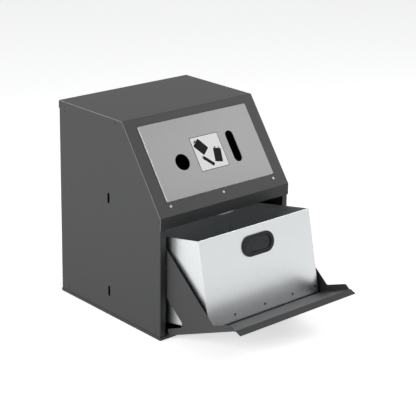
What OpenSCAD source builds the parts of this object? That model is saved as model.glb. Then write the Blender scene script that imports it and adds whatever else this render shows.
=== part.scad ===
// Battery recycling bin: a folded sheet-steel casing with a sloping fascia, a
// drop-down front flap on a rod hinge, and a galvanised container that leaves
// over the open flap. Millimetres, +Z up. The origin is the centre of the
// footprint on the floor and the front faces -Y. Inside the modules y is
// measured from the front of the casing, and at_front() moves it to the origin.

/* [Casing] */
// Overall width, which is the width of the hood
width = 400; // [350:1:440]
// Overall depth, front band to rear flange
depth = 386; // [350:1:400]
// Overall height
height = 492; // [445:1:540]
// Height of the fold between the front band and the slope
knee_height = 296; // [294:1:300]
// Depth from the front to the upper end of the slope
slope_run = 139; // [134:1:145]
// Thickness of the painted sheet
sheet = 1.5; // [1.2:0.1:1.8]
// Width of each margin beside the front opening, from the hood's edge
return_margin = 17; // [15:0.5:18]

/* [Hood] */
// Height of the lower edge of the front band
band_bottom = 267.2; // [265.8:0.1:268]
// Overhang of the hood beyond each side panel
hood_overhang = 1; // [0.5:0.5:1.5]
// Depth of the flange folded back under the band
band_return = 14.5; // [14:0.5:16]
// Height of the flange folded down at the rear
rear_flange = 20; // [18:1:24]

/* [Insert panel] */
// Margin beside the window, from the hood's edge
window_side = 33; // [32:0.5:37]
// Margin above the window, along the slope
window_top = 19.7853; // [17:0.1:25]
// Distance along the slope from the knee to the window
window_start = 31.5; // [30:0.5:34]
// Gap between the window and the insert panel
window_gap = 1; // [0.5:0.1:1.5]
// Diameter of the round hole for single batteries
hole_diameter = 40; // [34:1:44]
// Centre of the round hole across the slope
hole_x = -82; // [-90:1:-78]
// Centre of the round hole along the slope
hole_s = 114.4; // [100:0.2:130]
// Width of the long slot for flat batteries
slot_width = 16; // [12:1:20]
// Length of the long slot
slot_length = 80; // [60:1:90]
// Centre of the long slot across the slope
slot_x = 81; // [76:1:90]
// Centre of the long slot along the slope
slot_s = 122.8; // [110:0.2:130]

/* [Link slots] */
// Width of each link slot in the side panels
link_width = 8; // [6:0.5:10]
// Length of each link slot, end to end
link_length = 26; // [20:1:30]
// Height of the lower link slot's centre
link_low = 61; // [55:1:70]
// Distance between the two link slots' centres
link_spacing = 233.5; // [220:0.5:240]

/* [Flap] */
// Gap beside the flap in the front opening
flap_gap = 2; // [1.5:0.5:3]
// Angle through which the flap closes from the open pose
closing_angle = 68.2; // [66:0.1:69]
// Distance from the hinge axis to the lip's fold
flap_length = 253.5; // [250:0.5:255]
// Length of the handle lip
lip_length = 16.5; // [14:0.5:18]
// Angle of the lip to the flap
lip_angle = 42.7; // [35:0.1:50]
// Height of the side cheeks above the hinge axis, measured square to the flap
cheek_height = 12.5; // [11:0.5:14]

/* [Container] */
// Gap between each side of the flap and the container
tub_side_gap = 8.5; // [7:0.5:13]
// Difference between the casing's depth and the container's
tub_rear_room = 86; // [85:0.5:87]
// Height of the container's front
tub_height = 205.3; // [200:0.1:205.5]
// Lean of the container's front, measured from its own base
tub_lean = 0.9; // [0.5:0.1:3]
// Thickness of the galvanised sheet
tub_sheet = 1; // [0.8:0.1:1.2]
// Outer radius of the container's lower front fold
tub_fold = 4.5; // [4:0.1:5]
// Distance from the hinge axis to the fold's centre, along the open flap
tub_reach = 149.5; // [148:0.1:156]

/* [Hidden] */
$fn = 48;

// Steps in the arc of each fold
bend_steps = 5;
// Inside radius of the folds in the painted sheet
bend = 1;
// Clearance where one folded piece sits inside another
fit_gap = 0.3;
// Radial running clearance of the hinge
running_gap = 0.05;
// Allowance for a cut that passes right through
cut = 1;

slope = atan2(height - knee_height, slope_run);
slope_length = norm([slope_run, height - knee_height]);
side_x = width / 2 - hood_overhang;
inner_x = side_x - sheet;
opening_width = width - 2 * return_margin;
window_width = width - 2 * window_side;
window_length = slope_length - window_start - window_top;
flap_width = opening_width - 2 * flap_gap;
tub_width = flap_width - 2 * tub_side_gap;
tub_depth = depth - tub_rear_room;

// Base edging: the sheets stand in its groove
edging_height = 7;
edging_front_height = 5.6;
edging_lip_height = 5.9;
edging_floor = 2;
edging_width = 5;
edging_front_width = 9;
groove_gap = 0.1;

// Rivets and screws, by their distances from the edges of the sheets
knee_rivet_back = 10;
knee_rivet_drop = 10.5;
crown_rivet_back = 27.5;
crown_rivet_drop = 10;
rear_rivet_inset = 19;
rear_rivet_drop = 25;
foot_rivet_inset = 25;
foot_rivet_z = 16;
front_rivet_y = 20;
front_rivet_z = 15;
// The same rivets as [y from the front, z]
knee_rivet = [knee_rivet_back, knee_height - knee_rivet_drop];
crown_rivet = [slope_run + crown_rivet_back, height - crown_rivet_drop];
rear_rivet_high = [depth - rear_rivet_inset, height - rear_rivet_drop];
rear_rivet_low = [depth - foot_rivet_inset, foot_rivet_z];
front_rivet_low = [front_rivet_y, front_rivet_z];
side_rivets = [knee_rivet, crown_rivet, rear_rivet_high, rear_rivet_low, front_rivet_low];
rivet_shank = 4;
rivet_head = 6.5;
rivet_head_height = 0.9;
rivet_tail = 5.5;
rivet_tail_length = 2;
back_rivet_inset = 47.5;
back_rivet_drop = 12;
back_rivet_x = inner_x - back_rivet_inset;
back_rivet_z = height - back_rivet_drop;
band_screw_inset = 5.7;
band_screw_rise = 7.3;
band_screw_x = side_x - band_screw_inset;
band_screw_z = band_bottom + band_screw_rise;
insert_screw_inset = 7;
insert_screw_x = window_width / 2 - insert_screw_inset;
insert_screw_s = 22;
screw_shank = 4;
screw_head = 7.5;
screw_head_height = 2;
nut_diameter = 8;
nut_height = 3.5;
shank_gap = 0.1;

// Hood angles: one leg on the side panel, one leg under the hood
angle_leg = 32;
angle_flange = 16;
angle_rear_room = 36;
angle_rise = 1.8;
angle_knee_gap = 4;
leg_gap = 2;
angle_rear = depth - angle_rear_room;
angle_bottom = band_bottom + angle_rise;

// Insert panel: a shallow tray, proud of the hood
tray_proud = 2.8;
tray_sheet = 1.2;
tray_depth = 9;
tray_radius = 2;
tray_corner = 3;
tray_flange_start = 12;
tray_tongue = 12;
collar_depth = 4;

// Magnetic catch under the band
catch_width = 47;
catch_depth = 9;
catch_thick = 1.9;
catch_y = 2.3;
clip_width = 32;
clip_thick = 0.5;
clip_drop = 1.6;
clip_inset = 2;
magnet_inset = 0.8;
magnet_depth = 6;
catch_shank = 3;
catch_head = 5;
catch_head_height = 0.8;
catch_tail_height = 1;
catch_rivet_x = 19.5;

// Hinge
hinge_y = 4;
hinge_z = 9.75;
rod_radius = 2;
knuckle_bore = rod_radius + running_gap;
knuckle_radius = knuckle_bore + sheet;
knuckle_gap = 1;
end_knuckle = 30;
middle_knuckle = 60;
hinge_edge = 4;
floor_height = hinge_z - knuckle_bore;
floor_flange = 17;
floor_front_gap = 0.4;

// Flap, in its own frame: n square to the flap towards the inside, r along it
flap_half = flap_width / 2;
flap_face = -knuckle_bore;
flap_back = -knuckle_radius;
cheek_start = 13;
arm_root_low = 78;
arm_root_high = 180;
ledge_end = [10.5, flap_length - 10.5];
// Where an arm leaves and rejoins the pan, as [y from the front, z] when open
arm_foot = [2, 104];
arm_crown = [2, 219.5];

// Stop studs rest on the return flanges' rear faces when the flap is open
stud_radius = 4;
stud_length = 10;
stud_height = 175;
stud_gap = 0.3;
stud_collar = 1;

// Glide buttons on the tails of the arms, [y from the front, z] when open
glide_place = [70.8, 203.8];
glide_radius = 6;
glide_bore = 2.5;
glide_gap = 4;
glide_neck = 0.6;
glide_collar = 1;
tail_margin = 2;
// Run of the arm's underside before its tail, and drop of its top behind the crown
arm_run = 40;
arm_fall = 24;
// Corner radii of a cheek and its arm, in the order of its outline
cheek_radii = [0, 4, 10, 0, 12, 10, 12, 14, 6, 9, 0];

// Container at rest: it lies on the open flap and on the floor panel
rest_gap = 0.4;
open_rise = 90 - closing_angle;
rod_gap = 0.1;
edge_rod_radius = tub_fold - tub_sheet - rod_gap;
tub_y = hinge_y - tub_reach * cos(open_rise)
      + (flap_face + tub_fold + rest_gap) * sin(open_rise);
tub_z = hinge_z + tub_reach * sin(open_rise)
      + (flap_face + tub_fold + rest_gap) * cos(open_rise);
tub_tilt = asin((tub_z - tub_fold - floor_height - rest_gap) / (tub_depth - tub_fold));
// The base pan's bend nests in the shell's rear fold, on a rim left round the bottom
tub_rear_fold = 2 * tub_sheet + bend;
bottom_rim = 8;
hem_height = 12;
hem_thick = 2.2;
base_flange = 30;

// Grip openings with rubber edging
grip_width = 98;
grip_height = 49;
grip_rim = 8.5;
grip_thick = 7;
grip_drop = 45;
// How far the ring reaches over the edge of the sheet's opening
grip_bite = 2;
grip_sheet_gap = 0.1;

// Small helpers

function unit(v) = v / norm(v);
function left_of(v) = [-v[1], v[0]];
function turned(v, a) = [v[0] * cos(a) - v[1] * sin(a), v[0] * sin(a) + v[1] * cos(a)];
function reversed(v) = [for (i = [len(v) - 1 : -1 : 0]) v[i]];

// Arc of one fold on a face that lies offset to the left of the path
function fold_arc(path, i, offset, thick, radius) =
    let (a = unit(path[i] - path[i - 1]),
         b = unit(path[i + 1] - path[i]),
         angle = acos(a * b),
         side = sign(cross(a, b)),
         path_radius = side > 0 ? radius + thick : radius,
         centre = path[i] + unit(b - a) * path_radius / sin((180 - angle) / 2),
         face_radius = path_radius - side * offset,
         start = -side * left_of(a))
    [for (k = [0 : bend_steps])
        centre + face_radius * turned(start, side * angle * k / bend_steps)];

function face_line(path, offset, thick, radius) =
    let (last = len(path) - 1)
    concat(
        [path[0] + left_of(unit(path[1] - path[0])) * offset],
        [for (i = [1 : last - 1]) each fold_arc(path, i, offset, thick, radius)],
        [path[last] + left_of(unit(path[last] - path[last - 1])) * offset]);

// Section of a folded sheet whose thickness lies to the left of the path
function folded(path, thick = sheet, radius = bend) =
    concat(face_line(path, 0, thick, radius),
           reversed(face_line(path, thick, thick, radius)));

// Closed outline with each corner rounded by its own radius
function softened(points, radii) =
    let (count = len(points))
    [for (i = [0 : count - 1])
        let (p = points[(i + count - 1) % count], q = points[i], s = points[(i + 1) % count],
             a = unit(q - p), b = unit(s - q), angle = acos(a * b), side = sign(cross(a, b)))
        each (radii[i] == 0 ? [q]
            : [for (k = [0 : bend_steps])
                q + unit(b - a) * radii[i] / sin((180 - angle) / 2)
                  + radii[i] * turned(-side * left_of(a), side * angle * k / bend_steps)])];

// Height of the slope, moved square inwards by an inset, at a depth y
function slope_z(y, inset) = knee_height + (y * sin(slope) - inset) / cos(slope);
function slope_top_y(inset) =
    ((height - inset - knee_height) * cos(slope) + inset) / sin(slope);

// Side outline of the casing between a front and a rear plane
function side_outline(front, inset, rear, bottom) = [
    [front, bottom],
    [rear, bottom],
    [rear, height - inset],
    [slope_top_y(inset), height - inset],
    [front, slope_z(front, inset)]
];

module at_front() {
    translate([0, -depth / 2, 0]) children();
}

// Extrudes a [y, z] section along x
module along_x(from, to) {
    translate([from, 0, 0]) rotate([90, 0, 90]) linear_extrude(to - from) children();
}

// Frame on the slope: x across, y along the slope from the knee, z outwards
module on_slope() {
    translate([0, 0, knee_height]) rotate([slope, 0, 0]) children();
}

module both_sides() {
    children();
    mirror([1, 0, 0]) children();
}

module rounded_square(size, radius) {
    square([size[0] - 2 * radius, size[1]], center = true);
    square([size[0], size[1] - 2 * radius], center = true);
    for (x = [-1, 1], y = [-1, 1])
        translate([x * (size[0] / 2 - radius), y * (size[1] / 2 - radius)]) circle(radius);
}

// Rivet or screw along +x: the head starts at x = 0 and the shank goes to -x
module fastener(head, head_height, shank, length) {
    rotate([0, 90, 0]) {
        cylinder(d = head, h = head_height / 2);
        translate([0, 0, head_height / 2]) cylinder(d1 = head, d2 = head * 0.6, h = head_height / 2);
        translate([0, 0, -length]) cylinder(d = shank, h = length + head_height / 2);
    }
}

module blind_rivet(grip) {
    fastener(rivet_head, rivet_head_height, rivet_shank, grip + rivet_tail_length);
    translate([-grip - rivet_tail_length, 0, 0])
        rotate([0, 90, 0]) cylinder(d = rivet_tail, h = rivet_tail_length);
}

// Casing

module link_slot_cut(z) {
    translate([inner_x - cut, depth / 2, z]) rotate([90, 0, 90])
        linear_extrude(sheet + 2 * cut) {
            square([link_width, link_length - link_width], center = true);
            for (s = [-1, 1]) translate([0, s * (link_length - link_width) / 2])
                circle(d = link_width);
        }
}

module side_rivet_cuts() {
    for (p = side_rivets)
        translate([inner_x - 2 * sheet, p[0], p[1]]) rotate([0, 90, 0])
            cylinder(d = rivet_shank, h = 4 * sheet);
}

module side_panel() {
    plan = [[opening_width / 2, sheet], [side_x, sheet], [side_x, depth - sheet]];
    difference() {
        intersection() {
            linear_extrude(height) polygon(folded(plan));
            along_x(0, width)
                polygon(side_outline(sheet, sheet + fit_gap, depth - sheet, edging_floor));
        }
        link_slot_cut(link_low);
        link_slot_cut(link_low + link_spacing);
        side_rivet_cuts();
        translate([band_screw_x, 0, band_screw_z]) rotate([-90, 0, 0])
            cylinder(d = screw_shank, h = 3 * sheet);
    }
}

module left_side_panel() {
    color("dimgray") at_front() mirror([1, 0, 0]) side_panel();
}

module right_side_panel() {
    color("dimgray") at_front() side_panel();
}

// Rivets through the back panel, as a row at a height
module back_rivet_row(z) {
    for (x = [-back_rivet_x, 0, back_rivet_x]) translate([x, depth, z]) children();
}

module back_panel() {
    side_leg = angle_rear + leg_gap;
    back_foot = edging_lip_height + fit_gap;
    plan = [[inner_x, side_leg], [inner_x, depth - sheet],
            [-inner_x, depth - sheet], [-inner_x, side_leg]];
    color("dimgray") at_front() difference() {
        translate([0, 0, back_foot]) linear_extrude(height - sheet - bend - fit_gap - back_foot)
            polygon(folded(plan));
        both_sides() side_rivet_cuts();
        back_rivet_row(back_rivet_z) rotate([90, 0, 0]) cylinder(d = rivet_shank, h = 4 * sheet);
    }
}

// Tab of the floor panel, rolled forwards and over the hinge rod
module floor_knuckle(from, to) {
    along_x(from, to) translate([hinge_y, hinge_z]) {
        difference() {
            circle(knuckle_radius);
            circle(knuckle_bore);
            translate([0, -2 * knuckle_radius]) square(2 * knuckle_radius);
        }
        translate([0, -knuckle_radius]) square([knuckle_radius + cut, sheet]);
    }
}

module floor_panel() {
    low = floor_height - sheet;
    rear = depth - 2 * sheet;
    front = hinge_y + sqrt(pow(knuckle_radius + floor_front_gap, 2) - pow(knuckle_bore, 2));
    // The plate and its rear flange, then the flanges up the side panels
    plate = [[front, low], [rear, low], [rear, low + floor_flange]];
    span = [[-inner_x, low + floor_flange], [-inner_x, low], [inner_x, low], [inner_x, low + floor_flange]];
    color("dimgray") at_front() difference() {
        union() {
            along_x(-inner_x + sheet + bend, inner_x - sheet - bend) polygon(folded(plate));
            translate([0, angle_rear, 0]) rotate([90, 0, 0])
                linear_extrude(angle_rear - front) polygon(folded(span));
            both_sides() floor_knuckle(flap_half - end_knuckle, flap_half);
            floor_knuckle(-middle_knuckle / 2, middle_knuckle / 2);
        }
        both_sides() translate([inner_x - sheet - fit_gap, angle_rear, 0])
            cube([3 * sheet, depth, hinge_z]);
        side_rivet_cuts();
        mirror([1, 0, 0]) side_rivet_cuts();
    }
}

// Moulded ring that the sheets stand in
module base_edging() {
    groove = sheet + 2 * groove_gap;
    lip_x = inner_x - groove_gap;
    color("black") at_front() difference() {
        translate([-width / 2, 0, 0]) cube([width, depth, edging_height]);
        translate([-width / 2 + edging_width, edging_front_width, -cut])
            cube([width - 2 * edging_width, depth - edging_width - edging_front_width, 2 * edging_height]);
        translate([-opening_width / 2, -cut, edging_front_height])
            cube([opening_width, edging_front_width + 2 * cut, edging_height]);
        translate([-lip_x, sheet + groove, edging_lip_height])
            cube([2 * lip_x, depth - 2 * sheet - groove + groove_gap, edging_height]);
        both_sides() translate([lip_x, sheet - groove_gap, edging_floor])
            cube([groove, depth - 2 * sheet + 2 * groove_gap, edging_height]);
        both_sides() translate([opening_width / 2 - groove_gap, sheet - groove_gap, edging_floor])
            cube([side_x - opening_width / 2, groove, edging_height]);
    }
}

module insert_screw_places() {
    on_slope() for (x = [-insert_screw_x, 0, insert_screw_x])
        translate([x, insert_screw_s, 0]) children();
}

module hood() {
    line = [[depth, height - rear_flange], [depth, height], [slope_run, height],
            [0, knee_height], [0, band_bottom], [band_return, band_bottom]];
    color("dimgray") at_front() difference() {
        along_x(-width / 2, width / 2) polygon(folded(line));
        both_sides() translate([opening_width / 2 - fit_gap, sheet, band_bottom - cut])
            cube([width, band_return, sheet + 2 * cut]);
        on_slope() translate([0, window_start + window_length / 2, -2 * sheet])
            linear_extrude(3 * sheet) rounded_square([window_width, window_length], tray_corner);
        insert_screw_places() translate([0, 0, -2 * sheet]) cylinder(d = screw_shank, h = 3 * sheet);
        both_sides() translate([band_screw_x, -cut, band_screw_z]) rotate([-90, 0, 0])
            cylinder(d = screw_shank, h = 3 * sheet);
        back_rivet_row(back_rivet_z) translate([0, cut, 0]) rotate([90, 0, 0])
            cylinder(d = rivet_shank, h = 4 * sheet);
        catch_rivet_places() cylinder(d = catch_shank, h = 3 * sheet);
    }
}

module hood_angle() {
    front = 2 * sheet + fit_gap;
    difference() {
        union() {
            along_x(inner_x - sheet, inner_x) difference() {
                polygon(side_outline(front, sheet + fit_gap, angle_rear, angle_bottom));
                polygon(side_outline(angle_leg, angle_leg, angle_rear + cut, angle_bottom - cut));
            }
            along_x(inner_x - angle_flange, inner_x) difference() {
                polygon(side_outline(front, sheet, angle_rear, knee_height - angle_knee_gap));
                polygon(side_outline(0, 2 * sheet, angle_rear + cut, angle_bottom));
            }
        }
        side_rivet_cuts();
    }
}

module left_hood_angle() {
    color("dimgray") at_front() mirror([1, 0, 0]) hood_angle();
}

module right_hood_angle() {
    color("dimgray") at_front() hood_angle();
}

module slot_shape(length, diameter) {
    square([diameter, length - diameter], center = true);
    for (s = [-1, 1]) translate([0, s * (length - diameter) / 2]) circle(d = diameter);
}

// Shapes of the two openings in the insert panel, grown by a rim
module throw_openings(rim) {
    translate([hole_x, hole_s]) circle(d = hole_diameter + 2 * rim);
    translate([slot_x, slot_s]) slot_shape(slot_length + 2 * rim, slot_width + 2 * rim);
}

// Tray blank with rounded front edges, grown or shrunk by a margin
module tray_block(margin, top, radius) {
    w = window_width - 2 * window_gap + 2 * margin;
    l = window_length - 2 * window_gap + 2 * margin;
    middle = window_start + window_length / 2;
    deep = 4 * tray_depth;
    translate([0, middle, top - deep / 2]) intersection() {
        rotate([90, 0, 0]) linear_extrude(2 * l, center = true) rounded_square([w, deep], radius);
        rotate([90, 0, 90]) linear_extrude(2 * w, center = true) rounded_square([l, deep], radius);
        linear_extrude(2 * deep, center = true) rounded_square([w, l], tray_corner);
    }
}

module insert_panel() {
    w = window_width - 2 * window_gap;
    low = window_start + window_gap;
    high = window_start + window_length - window_gap;
    color("darkgray") at_front() on_slope() difference() {
        union() {
            difference() {
                tray_block(0, tray_proud, tray_radius);
                translate([0, 0, -tray_sheet]) tray_block(-tray_sheet, tray_proud, tray_radius - tray_sheet);
                translate([-width / 2, 0, -10 * tray_depth])
                    cube([width, height, 9 * tray_depth]);
            }
            translate([-w / 2, tray_flange_start, -2 * sheet])
                cube([w, low + tray_sheet - tray_flange_start, sheet]);
            translate([-w / 2, high - tray_sheet, -2 * sheet])
                cube([w, tray_tongue + tray_sheet, sheet]);
            translate([0, 0, tray_proud - collar_depth]) linear_extrude(collar_depth - 0.1)
                throw_openings(tray_sheet);
        }
        translate([0, 0, -tray_depth]) linear_extrude(3 * tray_depth) throw_openings(0);
        for (x = [-insert_screw_x, 0, insert_screw_x])
            translate([x, insert_screw_s, -3 * sheet]) cylinder(d = screw_shank, h = 3 * sheet);
    }
}

module insert_screws() {
    color("silver") at_front() insert_screw_places() rotate([0, -90, 0])
        fastener(screw_head, screw_head_height, screw_shank - shank_gap, 2 * sheet + nut_height);
}

module clinch_nuts() {
    color("silver") at_front() insert_screw_places()
        translate([0, 0, -2 * sheet - nut_height]) difference() {
            cylinder(d = nut_diameter, h = nut_height);
            translate([0, 0, -cut]) cylinder(d = screw_shank, h = nut_height + 2 * cut);
        }
}

module band_screws() {
    color("dimgray") at_front() both_sides() translate([band_screw_x, 0, band_screw_z])
        rotate([0, 0, -90]) fastener(rivet_head, rivet_head_height, screw_shank - shank_gap, 4 * sheet);
}

module right_rivets() {
    for (p = side_rivets)
        translate([side_x, p[0], p[1]]) blind_rivet(2 * sheet);
}

module left_side_rivets() {
    color("dimgray") at_front() mirror([1, 0, 0]) right_rivets();
}

module right_side_rivets() {
    color("dimgray") at_front() right_rivets();
}

module back_rivets() {
    color("dimgray") at_front() back_rivet_row(back_rivet_z) rotate([0, 0, 90])
        blind_rivet(2 * sheet);
}

// Catch

module catch_rivet_places() {
    for (x = [-catch_rivet_x, catch_rivet_x])
        translate([x, catch_y + catch_depth / 2, band_bottom - catch_thick]) children();
}

module catch_plate() {
    color("silver") at_front() difference() {
        translate([-catch_width / 2, catch_y, band_bottom - catch_thick])
            cube([catch_width, catch_depth, catch_thick]);
        catch_rivet_places() translate([0, 0, -cut])
            cylinder(d = catch_shank, h = catch_thick + 2 * cut);
    }
}

// The clip's outer block, grown inwards by a wall
module clip_block(wall, deeper) {
    foot = band_bottom - catch_thick - clip_drop + wall;
    translate([wall - clip_width / 2, catch_y + fit_gap - deeper, foot])
        cube([clip_width - 2 * wall, catch_depth - clip_inset + 2 * deeper, clip_drop - wall]);
}

module catch_clip() {
    color("silver") at_front() difference() {
        clip_block(0, 0);
        clip_block(clip_thick, cut);
    }
}

module catch_magnet() {
    color("black") at_front() intersection() {
        clip_block(clip_thick, 0);
        translate([-width / 2, catch_y + magnet_inset, 0]) cube([width, magnet_depth, height]);
    }
}

module catch_rivets() {
    color("silver") at_front() catch_rivet_places() {
        translate([0, 0, -catch_head_height]) cylinder(d = catch_head, h = catch_head_height);
        cylinder(d = catch_shank, h = catch_thick + sheet);
        translate([0, 0, catch_thick + sheet]) cylinder(d = catch_head, h = catch_tail_height);
    }
}

// Hinge and flap

module hinge_rod() {
    color("silver") at_front() translate([-flap_half, hinge_y, hinge_z]) rotate([0, 90, 0])
        cylinder(r = rod_radius, h = flap_width);
}

// Frame of the flap at rest: y is n, z is r, and the flap stands open
module flap_frame() {
    at_front() translate([0, hinge_y, hinge_z]) rotate([closing_angle, 0, 0]) children();
}

// Places a [y, z] point of the casing, seen with the flap open, in the flap's frame
function to_flap(p) = turned(p - [hinge_y, hinge_z], -closing_angle);

stud_place = to_flap([2 * sheet + stud_radius + stud_gap, stud_height]);
glide_in_flap = to_flap(glide_place);

// Outline of one cheek with its arm, as [n, r]
function cheek_outline() =
    let (tail = glide_in_flap, around = glide_radius + tail_margin,
         arm_high = to_flap(arm_crown), arm_low = to_flap(arm_foot))
    softened([
        [flap_back, cheek_start],
        [cheek_height, cheek_start],
        [cheek_height, arm_root_low],
        arm_low,
        [tail[0] - arm_run, tail[1] - around],
        [tail[0] + around, tail[1] - around],
        [tail[0] + around, arm_high[1] - arm_fall],
        arm_high,
        [cheek_height, arm_root_high],
        ledge_end,
        [flap_back, flap_length - 2]
    ], cheek_radii);

module cheeks_and_pan() {
    tall = 2 * flap_length;
    section = [[-flap_half, tall], [-flap_half, flap_back],
               [flap_half, flap_back], [flap_half, tall]];
    intersection() {
        linear_extrude(flap_length) polygon(folded(section));
        along_x(-flap_half, flap_half) polygon(cheek_outline());
    }
}

module flap_knuckle(from, to) {
    along_x(from, to) {
        difference() {
            circle(knuckle_radius);
            circle(knuckle_bore);
            translate([-2 * knuckle_radius, 0]) square(2 * knuckle_radius);
        }
        translate([flap_back, 0]) square([sheet, cheek_start + cut]);
    }
}

module flap_panel() {
    lip = [flap_back, flap_length] + lip_length * [-sin(lip_angle), cos(lip_angle)];
    line = [lip, [flap_back, flap_length], [flap_back, hinge_edge]];
    middle = flap_half - 2 * sheet;
    knuckle_from = middle_knuckle / 2 + knuckle_gap;
    knuckle_to = flap_half - end_knuckle - knuckle_gap;
    color("dimgray") flap_frame() difference() {
        union() {
            cheeks_and_pan();
            along_x(-middle, middle) polygon(folded(line));
            along_x(-flap_half, flap_half) intersection() {
                polygon(folded(line));
                translate([-flap_length, flap_length - 4]) square(2 * flap_length);
            }
            along_x(-flap_half, flap_half) translate([flap_back, hinge_edge])
                square([sheet, cheek_start - hinge_edge + cut]);
            both_sides() flap_knuckle(knuckle_from, knuckle_to);
        }
        both_sides() translate([flap_half, 0, 0]) rotate([90, 0, 90]) arm_holes();
    }
}

module arm_holes() {
    translate([stud_place[0], stud_place[1], -2 * sheet]) cylinder(r = stud_radius / 2, h = 3 * sheet);
    translate([glide_in_flap[0], glide_in_flap[1], -2 * sheet]) cylinder(r = glide_bore, h = 3 * sheet);
}

// Studs on the arms that stop the flap against the return flanges
module stop_studs() {
    color("silver") flap_frame() both_sides()
        translate([flap_half, stud_place[0], stud_place[1]]) rotate([0, 90, 0]) {
            cylinder(r = stud_radius, h = stud_length);
            translate([0, 0, -sheet - stud_collar]) {
                cylinder(r = stud_radius / 2, h = sheet + stud_collar + cut);
                cylinder(r = stud_radius * 0.8, h = stud_collar);
            }
        }
}

// Nylon button that keeps an arm off the side panel
module arm_glide() {
    length = inner_x - glide_gap - flap_half - fit_gap;
    translate([flap_half + fit_gap, glide_place[0], glide_place[1]]) rotate([0, 90, 0]) {
        cylinder(r = glide_radius, h = length);
        translate([0, 0, -sheet - glide_neck])
            cylinder(r = glide_bore - running_gap, h = sheet + glide_neck + cut);
        translate([0, 0, -sheet - glide_neck - glide_collar])
            cylinder(r = glide_bore + glide_collar, h = glide_collar);
    }
}

module left_arm_glide() {
    color("ivory") at_front() mirror([1, 0, 0]) arm_glide();
}

module right_arm_glide() {
    color("ivory") at_front() arm_glide();
}

// Container

// Frame of the container at rest: its origin is the centre of the lower front fold
module tub_frame() {
    at_front() translate([0, tub_y, tub_z]) rotate([-tub_tilt, 0, 0]) children();
}

// Depth of the container's leaning front wall, moved inwards by an inset, at a height z
function tub_front(inset, z) = z * tan(tub_lean) - (tub_fold - inset) / cos(tub_lean);

// Side section of the container, moved inwards by an inset
function tub_section(inset, top) =
    let (low = inset - tub_fold, rear = tub_depth - tub_fold - inset)
    softened([[tub_front(inset, low), low], [rear, low], [rear, top], [tub_front(inset, top), top]],
             [tub_fold - inset, tub_rear_fold - inset, 0, 0]);

module container_shell() {
    top = tub_height - tub_fold;
    color("lightgray") tub_frame() difference() {
        along_x(-tub_width / 2, tub_width / 2) polygon(tub_section(0, top));
        along_x(-tub_width / 2 + tub_sheet, tub_width / 2 - tub_sheet)
            polygon(tub_section(tub_sheet, top - hem_height));
        along_x(-tub_width / 2 + hem_thick, tub_width / 2 - hem_thick)
            polygon(tub_section(hem_thick, top + cut));
        translate([bottom_rim - tub_width / 2, bottom_rim, -tub_fold - cut])
            cube([tub_width - 2 * bottom_rim, tub_depth - tub_fold - 2 * bottom_rim, tub_sheet + 2 * cut]);
        front_grip_frame() linear_extrude(4 * hem_thick, center = true)
            grip_shape(grip_bite - grip_rim);
    }
}

// Base pan welded inside the shell; its front flange steps over the edge rod
module container_base() {
    low = tub_sheet - tub_fold;
    high = low + base_flange;
    rear = tub_depth - tub_fold - tub_sheet;
    step = edge_rod_radius + fit_gap;
    line = [[tub_front(tub_sheet, high), high], [tub_front(tub_sheet, step), step],
            [step, step], [step, low], [rear, low], [rear, high]];
    half = tub_width / 2 - 2 * tub_sheet;
    color("lightgray") tub_frame() along_x(-half, half) polygon(folded(line, tub_sheet));
}

// Stiffening rod in the container's lower front fold
module edge_rod() {
    color("silver") tub_frame() translate([-tub_width / 2 + 2 * tub_sheet, 0, 0]) rotate([0, 90, 0])
        cylinder(r = edge_rod_radius, h = tub_width - 4 * tub_sheet);
}

module grip_shape(margin) {
    rounded_square([grip_width + 2 * margin, grip_height + 2 * margin], grip_height / 2 + margin - 0.01);
}

// Frame on the outer face of the container's front, z outwards
module front_grip_frame() {
    grip_z = tub_height - tub_fold - grip_drop;
    translate([0, tub_front(0, grip_z), grip_z]) rotate([90 - tub_lean, 0, 0]) children();
}

// Rubber ring clipped round the edge of a grip opening
module grip_ring() {
    difference() {
        translate([0, 0, -grip_thick / 2 - tub_sheet / 2]) linear_extrude(grip_thick) grip_shape(0);
        linear_extrude(4 * grip_thick, center = true) grip_shape(-grip_rim);
        translate([0, 0, -tub_sheet - grip_sheet_gap]) linear_extrude(tub_sheet + 2 * grip_sheet_gap)
            difference() {
                grip_shape(cut);
                grip_shape(grip_bite - grip_rim - grip_sheet_gap);
            }
    }
}

module front_grip() {
    color("black") tub_frame() front_grip_frame() grip_ring();
}

left_side_panel();
right_side_panel();
back_panel();
floor_panel();
base_edging();
hood();
left_hood_angle();
right_hood_angle();
insert_panel();
insert_screws();
clinch_nuts();
band_screws();
left_side_rivets();
right_side_rivets();
back_rivets();
catch_plate();
catch_clip();
catch_magnet();
catch_rivets();
hinge_rod();
flap_panel();
stop_studs();
left_arm_glide();
right_arm_glide();
edge_rod();
container_shell();
container_base();
front_grip();
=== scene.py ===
from math import atan2, cos, pi, radians, sin

import bmesh
import bpy
from mathutils import Matrix, Vector


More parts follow.
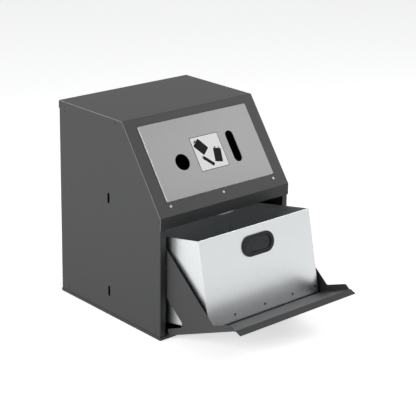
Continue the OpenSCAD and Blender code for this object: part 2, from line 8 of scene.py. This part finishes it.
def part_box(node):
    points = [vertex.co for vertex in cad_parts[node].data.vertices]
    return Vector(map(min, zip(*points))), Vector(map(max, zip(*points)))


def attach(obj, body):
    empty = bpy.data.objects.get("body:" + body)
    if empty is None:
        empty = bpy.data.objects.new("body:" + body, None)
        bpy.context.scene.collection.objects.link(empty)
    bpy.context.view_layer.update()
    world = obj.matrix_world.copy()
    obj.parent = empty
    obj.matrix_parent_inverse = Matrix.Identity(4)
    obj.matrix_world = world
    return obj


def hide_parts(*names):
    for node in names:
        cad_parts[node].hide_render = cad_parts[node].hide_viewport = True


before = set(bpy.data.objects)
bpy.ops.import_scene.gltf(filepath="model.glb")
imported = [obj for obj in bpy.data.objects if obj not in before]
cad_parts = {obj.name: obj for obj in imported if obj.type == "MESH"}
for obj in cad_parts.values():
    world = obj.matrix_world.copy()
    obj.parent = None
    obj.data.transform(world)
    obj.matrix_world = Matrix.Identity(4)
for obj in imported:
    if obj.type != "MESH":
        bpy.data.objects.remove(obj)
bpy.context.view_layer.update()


# Camera. It stands to the left of the bin and above it, with a long lens, and its
# frame is moved down so that the upright edges keep their slant in the picture.
picture_px = 416
camera_azimuth = radians(-41.4706)
camera_elevation = radians(15.4879)
camera_roll = radians(0.7054)
camera_place = Vector((-2.01351, -2.40046, 1.34218))
focal_px = 1357.28
horizon_row_px = 110
sensor_mm = 36
sight_range = 30

camera_back = Vector((sin(camera_azimuth) * cos(camera_elevation),
                      -cos(camera_azimuth) * cos(camera_elevation),
                      sin(camera_elevation)))
level_right = Vector((0, 0, 1)).cross(camera_back).normalized()
level_up = camera_back.cross(level_right)
camera_right = cos(camera_roll) * level_right + sin(camera_roll) * level_up
camera_up = cos(camera_roll) * level_up - sin(camera_roll) * level_right

camera_data = bpy.data.cameras.new("camera")
camera = bpy.data.objects.new("camera", camera_data)
bpy.context.scene.collection.objects.link(camera)
camera.matrix_world = Matrix.Translation(camera_place) @ Matrix(
    (camera_right, camera_up, camera_back)).transposed().to_4x4()
camera_data.sensor_width = sensor_mm
camera_data.lens = focal_px / picture_px * sensor_mm
camera_data.shift_y = (horizon_row_px - picture_px / 2) / picture_px
camera_data.clip_end = sight_range
bpy.context.scene.camera = camera
bpy.context.scene.view_settings.view_transform = "Standard"


# Studio. A white room with a pale floor that keeps the bin's shadow, a large soft lamp
# at the left, and one high on the right whose gloss lies along the slope.
room_colour = (0.97, 0.985, 1)
room_light = 0.22
picture_white = (1, 1, 1)
floor_half = 4.0
floor_colour = (0.92, 0.92, 0.92)
floor_glow = 0.64
bin_middle = (0, -0.1, 0.2)
lamp_size = 1.4
left_place = (-2.8, 0.4, 0.9)
left_power = 68
right_place = (1.7, -1.6, 2.0)
right_power = 31


def wire(material_or_world, *steps):
    links = material_or_world.node_tree.links
    for start, end in steps:
        links.new(start, end)


def white_for_the_camera(tree):
    """1 for rays that meet the room straight from the camera, in gloss or through glass, else 0."""
    path = tree.nodes.new("ShaderNodeLightPath")
    seen_by = path.outputs["Is Camera Ray"]
    for ray in ("Is Glossy Ray", "Is Transmission Ray"):
        either = tree.nodes.new("ShaderNodeMath")
        either.operation = "MAXIMUM"
        tree.links.new(seen_by, either.inputs[0])
        tree.links.new(path.outputs[ray], either.inputs[1])
        seen_by = either.outputs[0]
    return seen_by


def backdrop(nodes, colour, strength):
    shade = nodes.new("ShaderNodeBackground")
    shade.inputs["Color"].default_value = (*colour, 1)
    shade.inputs["Strength"].default_value = strength
    return shade


def soft_lamp(name, place, power):
    data = bpy.data.lights.new(name, "AREA")
    data.shape = "DISK"
    data.size = lamp_size
    data.energy = power
    lamp = bpy.data.objects.new(name, data)
    bpy.context.scene.collection.objects.link(lamp)
    lamp.location = place
    lamp.rotation_euler = (Vector(bin_middle) - Vector(place)).to_track_quat("-Z", "Y").to_euler()


room = bpy.data.worlds.new("room")
bpy.context.scene.world = room
room.use_nodes = True
room_nodes = room.node_tree.nodes
room_nodes.clear()
lit = backdrop(room_nodes, room_colour, room_light)
seen = backdrop(room_nodes, picture_white, 1)
choice = room_nodes.new("ShaderNodeMixShader")
room_out = room_nodes.new("ShaderNodeOutputWorld")
wire(room, (white_for_the_camera(room.node_tree), choice.inputs[0]),
     (lit.outputs[0], choice.inputs[1]), (seen.outputs[0], choice.inputs[2]),
     (choice.outputs[0], room_out.inputs[0]))

bpy.ops.mesh.primitive_plane_add(size=2 * floor_half, location=(0, 0, 0))
floor = bpy.context.object
floor.name = "studio_floor"
floor_paint = bpy.data.materials.new("studio_floor")
floor_paint.use_nodes = True
floor_nodes = floor_paint.node_tree.nodes
floor_nodes.clear()
matt = floor_nodes.new("ShaderNodeBsdfDiffuse")
matt.inputs["Color"].default_value = (*floor_colour, 1)
glow = floor_nodes.new("ShaderNodeEmission")
glow_level = floor_nodes.new("ShaderNodeMath")
glow_level.operation = "MULTIPLY"
glow_level.inputs[1].default_value = floor_glow
both = floor_nodes.new("ShaderNodeAddShader")
floor_out = floor_nodes.new("ShaderNodeOutputMaterial")
wire(floor_paint, (white_for_the_camera(floor_paint.node_tree), glow_level.inputs[0]),
     (glow_level.outputs[0], glow.inputs["Strength"]), (matt.outputs[0], both.inputs[0]),
     (glow.outputs[0], both.inputs[1]), (both.outputs[0], floor_out.inputs[0]))
floor.data.materials.append(floor_paint)

soft_lamp("left_lamp", left_place, left_power)
soft_lamp("right_lamp", right_place, right_power)


# Painted casing. Side panels, back and floor are folded sheet steel with a charcoal
# powder coat, fine-grained and satin, and the rivets and band screws are painted too.
mm = 0.001
charcoal_colour = (0.036, 0.0365, 0.038)
charcoal_roughness = 0.52
charcoal_specular = 0.32
charcoal_shades = 0.03
peel_scale = 900
peel_detail = 2
peel_strength = 0.25
peel_depth = 0.1 * mm
coated_edge = 0.8 * mm
edge_samples = 6
shade_scale = 60
shade_detail = 3
low_shade_at = 0.35
high_shade_at = 0.65


def principled(name, colour, roughness, metallic=0.0, specular=0.5):
    material = bpy.data.materials.new(name)
    material.use_nodes = True
    shader = surface(material)
    shader.inputs["Base Color"].default_value = (*colour, 1)
    shader.inputs["Roughness"].default_value = roughness
    shader.inputs["Metallic"].default_value = metallic
    shader.inputs["Specular IOR Level"].default_value = specular
    return material


def surface(material):
    return material.node_tree.nodes["Principled BSDF"]


def object_noise(material, scale, detail, stretch=(1, 1, 1)):
    nodes = material.node_tree.nodes
    place = nodes.new("ShaderNodeTexCoord")
    mapping = nodes.new("ShaderNodeMapping")
    mapping.inputs["Scale"].default_value = stretch
    noise = nodes.new("ShaderNodeTexNoise")
    noise.inputs["Scale"].default_value = scale
    noise.inputs["Detail"].default_value = detail
    wire(material, (place.outputs["Object"], mapping.inputs["Vector"]),
         (mapping.outputs["Vector"], noise.inputs["Vector"]))
    return noise


def add_bump(material, height, strength, depth, edge_radius=0):
    """The noise as bump, over edges that are rounded where a radius is given."""
    bump = material.node_tree.nodes.new("ShaderNodeBump")
    bump.inputs["Strength"].default_value = strength
    bump.inputs["Distance"].default_value = depth
    wire(material, (height.outputs["Fac"], bump.inputs["Height"]),
         (bump.outputs[0], surface(material).inputs["Normal"]))
    if edge_radius:
        rounded = material.node_tree.nodes.new("ShaderNodeBevel")
        rounded.samples = edge_samples
        rounded.inputs["Radius"].default_value = edge_radius
        wire(material, (rounded.outputs[0], bump.inputs["Normal"]))


def mottled(material, noise, low, high):
    """The noise runs the base colour between two close shades."""
    ramp = material.node_tree.nodes.new("ShaderNodeValToRGB")
    ramp.color_ramp.elements[0].color = (*low, 1)
    ramp.color_ramp.elements[0].position = low_shade_at
    ramp.color_ramp.elements[1].color = (*high, 1)
    ramp.color_ramp.elements[1].position = high_shade_at
    wire(material, (noise.outputs["Fac"], ramp.inputs[0]),
         (ramp.outputs[0], surface(material).inputs["Base Color"]))


def powder_coat(name, colour, roughness, specular, shades):
    """A fine orange-peel grain, and hardly any change of shade."""
    material = principled(name, colour, roughness, specular=specular)
    grain = object_noise(material, peel_scale, peel_detail)
    add_bump(material, grain, peel_strength, peel_depth, coated_edge)
    cloud = object_noise(material, shade_scale, shade_detail)
    mottled(material, cloud, [c * (1 - shades) for c in colour], [c * (1 + shades) for c in colour])
    return material


def dress(node_names, material):
    for name in node_names:
        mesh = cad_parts[name].data
        mesh.materials.clear()
        mesh.materials.append(material)


charcoal = powder_coat("charcoal_coat", charcoal_colour, charcoal_roughness, charcoal_specular,
                       charcoal_shades)
dress(("left_side_panel", "right_side_panel", "back_panel", "floor_panel",
       "left_hood_angle", "right_hood_angle", "left_side_rivets", "right_side_rivets",
       "back_rivets", "band_screws"), charcoal)


# Hood. One folded sheet over the side panels, in the same charcoal. Its cut edges are
# painted lighter, a painted highlight that reads as a light line beside the slope.
hood_half_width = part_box("hood")[1][0]
painted_highlight_width = 0.4 * mm
painted_highlight_colour = (0.2, 0.2, 0.205)


def colour_over(material, share, colour):
    """Lays a second colour over the coat, as far as the share says."""
    base = surface(material).inputs["Base Color"]
    coat = base.links[0].from_socket
    mix = material.node_tree.nodes.new("ShaderNodeMix")
    mix.data_type = "RGBA"
    mix.inputs["B"].default_value = (*colour, 1)
    wire(material, (share, mix.inputs["Factor"]), (coat, mix.inputs["A"]), (mix.outputs["Result"], base))


def paint_highlight_on_cut_edges(material, half_width):
    """What lies further out than the half width is cut edge, and is painted lighter as a painted
    highlight.
    """
    nodes = material.node_tree.nodes
    place = nodes.new("ShaderNodeTexCoord")
    axes = nodes.new("ShaderNodeSeparateXYZ")
    reach = nodes.new("ShaderNodeMath")
    reach.operation = "ABSOLUTE"
    outside = nodes.new("ShaderNodeMath")
    outside.operation = "GREATER_THAN"
    outside.inputs[1].default_value = half_width
    wire(material, (place.outputs["Object"], axes.inputs[0]), (axes.outputs["X"], reach.inputs[0]),
         (reach.outputs[0], outside.inputs[0]))
    colour_over(material, outside.outputs[0], painted_highlight_colour)


hood_coat = powder_coat("hood_coat", charcoal_colour, charcoal_roughness, charcoal_specular,
                        charcoal_shades)
# The hood's cut edges get a lighter colour, a painted highlight along them.
paint_highlight_on_cut_edges(hood_coat, hood_half_width - painted_highlight_width)
dress(("hood",), hood_coat)


# Base edging. A moulded ring of black plastic round the casing's foot. The sheets stand
# in its groove, and it rests on the floor.
edging_black = (0.012, 0.012, 0.013)
edging_roughness = 0.5
mould_scale = 400
mould_detail = 2
mould_strength = 0.1
mould_depth = 0.1 * mm

black_plastic = principled("black_plastic", edging_black, edging_roughness)
moulded = object_noise(black_plastic, mould_scale, mould_detail)
add_bump(black_plastic, moulded, mould_strength, mould_depth)
dress(("base_edging",), black_plastic)


# Insert panel. A shallow tray of light grey coated sheet with rounded edges, dropped
# into the hood's window. The round hole and the long slot are punched through it, a
# flange at its foot takes the screws and a tongue at its head hooks under the hood.
knee_height = 296 * mm
slope_run = 139 * mm
casing_height = 492 * mm
casing_front = -193 * mm
insert_width = 332 * mm
insert_length = 187 * mm
insert_middle = 126 * mm
insert_proud = 2.8 * mm
insert_depth = 9 * mm
insert_sheet = 1.2 * mm
insert_corner = 3 * mm
insert_edge = 1.4 * mm
hole_x = -82 * mm
hole_rise = 114.4 * mm
hole_radius = 20 * mm
slot_x = 81 * mm
slot_rise = 122.8 * mm
slot_width = 24 * mm
slot_length = 80 * mm
foot_flange = 20 * mm
head_tongue = 12 * mm
flange_top = -1.55 * mm
flange_thick = 1.4 * mm
flange_corner = 1 * mm
hair = 0.01 * mm
plate_segments = 4
roll_segments = 5
slot_end_segments = 16
hole_sides = 64
light_grey_colour = (0.54, 0.54, 0.535)
light_grey_roughness = 0.45
light_grey_specular = 0.3
light_grey_shades = 0.006
wall_facing = 0.2
bend_facing = (0.4, 0.85)
flat_facing = 0.97
bare_steel = (0.5, 0.505, 0.505)
coated = (0, 0, 0, 1)
bare = (1, 1, 1, 1)

slope = atan2(casing_height - knee_height, slope_run)
on_slope = Matrix.Translation((0, casing_front, knee_height)) @ Matrix.Rotation(slope, 4, "X")
tray_depth = insert_proud + insert_depth
tray_middle = (insert_proud - insert_depth) / 2
insert_low = insert_middle - insert_length / 2
insert_high = insert_middle + insert_length / 2
flange_width = insert_width - 2 * insert_corner
foot_middle = insert_low - foot_flange / 2 + insert_sheet / 2
head_middle = insert_high + head_tongue / 2 - insert_sheet / 2
punch_length = 4 * insert_depth


def settle(obj, place, material, body):
    """Puts the place into the mesh, then gives the piece its finish and its body."""
    obj.data.transform(place @ obj.matrix_world)
    obj.matrix_world = Matrix.Identity(4)
    obj.data.materials.clear()
    obj.data.materials.append(material)
    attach(obj, body)


def only(obj):
    bpy.ops.object.select_all(action="DESELECT")
    obj.select_set(True)
    bpy.context.view_layer.objects.active = obj


def block(name, size, middle):
    """The plain box that a plate or the tray starts from."""
    bpy.ops.object.select_all(action="DESELECT")
    bpy.ops.mesh.primitive_cube_add(size=1, location=(0, 0, 0))
    obj = bpy.context.object
    obj.name = name
    obj.data.transform(Matrix.Translation(middle) @ Matrix.Diagonal((*size, 1)))
    return obj


def round_bar(name, radius, length, sides):
    """A short bar with its middle at the origin, which a punch or a weld starts from."""
    bpy.ops.object.select_all(action="DESELECT")
    bpy.ops.mesh.primitive_cylinder_add(vertices=sides, radius=radius, depth=length, location=(0, 0, 0))
    obj = bpy.context.object
    obj.name = name
    return obj


def heights(edge):
    return sorted(vert.co.z for vert in edge.verts)


def edit_edges(obj, chosen):
    """Opens edit mode with just those edges selected whose lower and upper ends chosen() accepts."""
    only(obj)
    bpy.ops.object.mode_set(mode="EDIT")
    bpy.ops.mesh.select_mode(type="EDGE")
    mesh = bmesh.from_edit_mesh(obj.data)
    for edge in mesh.edges:
        edge.select_set(chosen(*heights(edge)))
    mesh.select_flush_mode()
    bmesh.update_edit_mesh(obj.data)


def round_edges(obj, chosen, radius, segments):
    edit_edges(obj, chosen)
    bpy.ops.mesh.bevel(offset=radius, segments=segments)
    bpy.ops.object.mode_set(mode="OBJECT")


def plate(name, width, length, thick, corner, segments=plate_segments):
    """A flat plate on z = 0 with its upright edges rounded."""
    obj = block(name, (width, length, thick), (0, 0, thick / 2))
    round_edges(obj, lambda low, high: high - low > thick / 2, corner, segments)
    return obj


def flange(name, run, middle):
    """A flat strip behind the hood's sheet, across the tray's foot or head."""
    strip = plate(name, flange_width, run, flange_thick, flange_corner)
    strip.data.transform(Matrix.Translation((0, middle, flange_top - flange_thick)))
    return strip


def join(name, parts):
    bpy.ops.object.select_all(action="DESELECT")
    for part in parts:
        part.select_set(True)
    bpy.context.view_layer.objects.active = parts[0]
    bpy.ops.object.join()
    parts[0].name = name
    return parts[0]


def apply_modifier(obj, kind, **settings):
    only(obj)
    modifier = obj.modifiers.new(kind.lower(), kind)
    for name, value in settings.items():
        setattr(modifier, name, value)
    bpy.ops.object.modifier_apply(modifier=modifier.name)


def bare_edges(material):
    """Where the surface starts to turn away from the slope, the rolled edge is bare bright steel."""
    nodes = material.node_tree.nodes
    place = nodes.new("ShaderNodeTexCoord")
    facing = nodes.new("ShaderNodeVectorMath")
    facing.operation = "DOT_PRODUCT"
    facing.inputs[1].default_value = (0, -sin(slope), cos(slope))
    rolled = nodes.new("ShaderNodeValToRGB")
    ramp = rolled.color_ramp
    ramp.elements[0].position = wall_facing
    ramp.elements[0].color = coated
    ramp.elements[1].position = flat_facing
    ramp.elements[1].color = coated
    for facing_value in bend_facing:
        ramp.elements.new(facing_value).color = bare
    wire(material, (place.outputs["Normal"], facing.inputs[0]),
         (facing.outputs["Value"], rolled.inputs[0]),
         (rolled.outputs[0], surface(material).inputs["Metallic"]))
    colour_over(material, rolled.outputs[0], bare_steel)


tray = block("insert_tray", (insert_width, insert_length, tray_depth), (0, insert_middle, tray_middle))
edit_edges(tray, lambda low, high: high < 0)
bpy.ops.mesh.delete(type="ONLY_FACE")
bpy.ops.object.mode_set(mode="OBJECT")
round_edges(tray, lambda low, high: high - low > insert_depth / 2, insert_corner, roll_segments)
round_edges(tray, lambda low, high: low > insert_proud - hair, insert_edge, roll_segments)
apply_modifier(tray, "SOLIDIFY", thickness=insert_sheet, offset=-1, use_even_offset=True)

round_punch = round_bar("round_punch", hole_radius, punch_length, hole_sides)
round_punch.data.transform(Matrix.Translation((hole_x, hole_rise, 0)))
slot_punch = plate("slot_punch", slot_width, slot_length, punch_length, slot_width / 2 - hair,
                   slot_end_segments)
slot_punch.data.transform(Matrix.Translation((slot_x, slot_rise, -punch_length / 2)))
for punch in (round_punch, slot_punch):
    apply_modifier(tray, "BOOLEAN", operation="DIFFERENCE", solver="EXACT", object=punch)
    bpy.data.objects.remove(punch)

foot = flange("foot_flange", foot_flange, foot_middle)
head = flange("head_tongue", head_tongue, head_middle)
insert = join("insert_tray", [tray, foot, head])
light_grey = powder_coat("light_grey_coat", light_grey_colour, light_grey_roughness,
                         light_grey_specular, light_grey_shades)
bare_edges(light_grey)
settle(insert, on_slope, light_grey, "casing")
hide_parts("insert_panel")


# Plated hardware. The screws, clinch nuts, hinge rod, stop studs and the rod in the
# container's fold are zinc-plated steel. The catch is painted plain white, a painted glint
# in place of its plating's reflection, and has a dark magnet.
bright_zinc_colour = (0.78, 0.79, 0.8)
bright_zinc_roughness = 0.28
dull_zinc_colour = (0.3, 0.3, 0.3)
dull_zinc_roughness = 0.5
catch_glint_white = (0.93, 0.935, 0.94)
catch_roughness = 0.3
magnet_black = (0.03, 0.03, 0.03)
magnet_roughness = 0.6
plating_scale = 120
plating_detail = 3
plating_shade = 0.9


def zinc(name, colour, roughness):
    """Plated steel with soft clouds a little darker than its colour."""
    material = principled(name, colour, roughness, metallic=1)
    cloud = object_noise(material, plating_scale, plating_detail)
    mottled(material, cloud, [c * plating_shade for c in colour], colour)
    return material


bright_zinc = zinc("bright_zinc", bright_zinc_colour, bright_zinc_roughness)
dress(("clinch_nuts", "hinge_rod", "stop_studs", "edge_rod"), bright_zinc)
dull_zinc = zinc("dull_zinc", dull_zinc_colour, dull_zinc_roughness)
dress(("insert_screws",), dull_zinc)
# The catch's plain white is a painted glint, standing in for the reflection of its plating.
catch_painted_glint = principled("catch_painted_glint", catch_glint_white, catch_roughness)
dress(("catch_plate", "catch_clip", "catch_rivets"), catch_painted_glint)
ferrite = principled("ferrite", magnet_black, magnet_roughness)
dress(("catch_magnet",), ferrite)


# Label. A white printed plate between the two openings, with a thin dark border and
# the plain dark shapes of a round cell, a block battery and a slim cell.
label_centre = (4 * mm, 123 * mm)
label_width = 86 * mm
label_length = 85 * mm
label_thick = 0.3 * mm
label_corner = 1.5 * mm
border = 1.2 * mm
face_corner = 1 * mm
print_thick = 0.08 * mm
terminal_gap = 0.9 * mm
terminal_corner = 0.3 * mm
paper_white = (0.94, 0.945, 0.95)
paper_roughness = 0.4
ink_black = (0.014, 0.0135, 0.013)
ink_roughness = 0.7
ink_specular = 0.1

on_label = on_slope @ Matrix.Translation((*label_centre, insert_proud))
label_white = principled("label_white", paper_white, paper_roughness)
label_ink = principled("label_ink", ink_black, ink_roughness, specular=ink_specular)
settle(plate("label_border", label_width, label_length, label_thick, label_corner),
       on_label, label_ink, "casing")
settle(plate("label_face", label_width - 2 * border, label_length - 2 * border,
             label_thick + print_thick, face_corner),
       on_label, label_white, "casing")


def battery(name, width, length, corner, terminals, terminal_size, centre, turn):
    """The shape of a battery from the side: its case and its terminals."""
    thick = label_thick + 2 * print_thick
    terminal_middle = length / 2 + terminal_size[1] / 2 + terminal_gap
    parts = [plate(name, width, length, thick, corner)]
    for terminal_x in terminals:
        cap = plate(name + "_cap", *terminal_size, thick, terminal_corner)
        cap.data.transform(Matrix.Translation((terminal_x, terminal_middle, 0)))
        parts.append(cap)
    turned = on_label @ Matrix.Translation((*centre, 0)) @ Matrix.Rotation(turn, 4, "Z")
    settle(join(name, parts), turned, label_ink, "casing")


battery("label_round_cell", width=26 * mm, length=34 * mm, corner=3 * mm,
        terminals=(0,), terminal_size=(9 * mm, 3 * mm),
        centre=(-19 * mm, 16 * mm), turn=radians(38))
battery("label_block_battery", width=22 * mm, length=34 * mm, corner=1.5 * mm,
        terminals=(-5.5 * mm, 5.5 * mm), terminal_size=(5 * mm, 2.6 * mm),
        centre=(21 * mm, -12 * mm), turn=radians(-14))
battery("label_slim_cell", width=8.5 * mm, length=34 * mm, corner=1.5 * mm,
        terminals=(0,), terminal_size=(3.6 * mm, 2 * mm),
        centre=(-12 * mm, -21 * mm), turn=radians(46))


# Arm glides. Nylon buttons on the tails of the flap's arms, which keep the arms off the
# side panels. They are hidden inside the bin, and are a guess.
nylon_colour = (0.78, 0.76, 0.68)
nylon_roughness = 0.45

nylon = principled("nylon", nylon_colour, nylon_roughness)
dress(("left_arm_glide", "right_arm_glide"), nylon)


# Flap. The pan, its cheeks, its arms and the handle lip are folded from one sheet, with
# rolled knuckles that turn on the hinge rod, in the casing's charcoal coat.
dress(("flap_panel",), charcoal)


# Container. A deep pan of galvanised sheet with a fine spangle and faint streaks, hemmed
# at the rim, with a base pan welded inside it. It stands loose on the open flap.
galvanised_colour = (0.625, 0.643, 0.651)
galvanised_roughness = 0.34
spangle_scale = 300
dark_spangle = 0.975
light_spangle = 1.02
streak_scale = 30
streak_detail = 3
streak_stretch = (5, 5, 0.3)
smoother_by = 0.06
rougher_by = 0.08
coating_scale = 700
coating_detail = 2
coating_strength = 0.08
coating_depth = 0.05 * mm
folded_edge = 1.2 * mm


def galvanised_sheet(name, colour, roughness):
    material = principled(name, colour, roughness, metallic=1)
    nodes = material.node_tree.nodes
    place = nodes.new("ShaderNodeTexCoord")
    spangle = nodes.new("ShaderNodeTexVoronoi")
    spangle.inputs["Scale"].default_value = spangle_scale
    ramp = nodes.new("ShaderNodeValToRGB")
    ramp.color_ramp.elements[0].color = (*[c * dark_spangle for c in colour], 1)
    ramp.color_ramp.elements[1].color = (*[c * light_spangle for c in colour], 1)
    wire(material, (place.outputs["Object"], spangle.inputs["Vector"]),
         (spangle.outputs["Color"], ramp.inputs[0]),
         (ramp.outputs[0], surface(material).inputs["Base Color"]))
    streaks = object_noise(material, streak_scale, streak_detail, streak_stretch)
    level = nodes.new("ShaderNodeMapRange")
    level.inputs["To Min"].default_value = roughness - smoother_by
    level.inputs["To Max"].default_value = roughness + rougher_by
    wire(material, (streaks.outputs["Fac"], level.inputs["Value"]),
         (level.outputs[0], surface(material).inputs["Roughness"]))
    grain = object_noise(material, coating_scale, coating_detail)
    add_bump(material, grain, coating_strength, coating_depth, folded_edge)
    return material


galvanised = galvanised_sheet("galvanised", galvanised_colour, galvanised_roughness)
dress(("container_shell", "container_base"), galvanised)


# Spot welds. Four shallow dished marks low on the front, where the electrodes held the
# base pan's flange to the shell, the last one close to the right fold.
tub_origin = Vector((0, -326.75 * mm, 67.916 * mm))
tub_tilt = radians(10.789)
front_lean = radians(0.9)
lower_fold = 4.5 * mm
weld_rise = 14 * mm
weld_places = (-93 * mm, 0, 89 * mm, 164 * mm)
weld_radius = 3.4 * mm
weld_proud = 0.25 * mm
weld_rim = 1.19 * mm
weld_bevel = 1.02 * mm
weld_dish = 0.2 * mm
weld_sides = 24
weld_grey = (0.17, 0.175, 0.18)
weld_roughness = 0.35

in_tub = Matrix.Translation(tub_origin) @ Matrix.Rotation(-tub_tilt, 4, "X")
on_tub_front = (in_tub @ Matrix.Translation((0, -lower_fold / cos(front_lean), 0))
                @ Matrix.Rotation(pi / 2 - front_lean, 4, "X"))
weld_zinc = zinc("weld_zinc", weld_grey, weld_roughness)
welds = []
for number, weld_x in enumerate(weld_places, start=1):
    weld = round_bar(f"spot_weld_{number}", weld_radius, 2 * weld_proud, weld_sides)
    edit_edges(weld, lambda low, high: low > 0)
    bpy.ops.mesh.inset(thickness=weld_rim)
    bpy.ops.mesh.inset(thickness=weld_bevel)
    bpy.ops.transform.translate(value=(0, 0, -weld_dish))
    bpy.ops.object.mode_set(mode="OBJECT")
    settle(weld, on_tub_front @ Matrix.Translation((weld_x, weld_rise, 0)),
           weld_zinc, "container")
    welds.append(weld)


# Grip. A black rubber edging clipped round the opening in the container's front, where a
# hand takes hold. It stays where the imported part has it, lower than on the real bin.
rubber_black = (0.01, 0.0105, 0.011)
rubber_roughness = 0.45
rubber_specular = 0.25

grip_rubber = principled("grip_rubber", rubber_black, rubber_roughness, specular=rubber_specular)
dress(("front_grip",), grip_rubber)


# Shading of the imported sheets, the insert and the welds. Folds and rolled edges shade
# round, and faces that meet at a sharper angle than this keep their line.
smooth_up_to = radians(30)

for obj in (*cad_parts.values(), insert, *welds):
    only(obj)
    bpy.ops.object.shade_smooth_by_angle(angle=smooth_up_to)
bpy.ops.object.select_all(action="DESELECT")
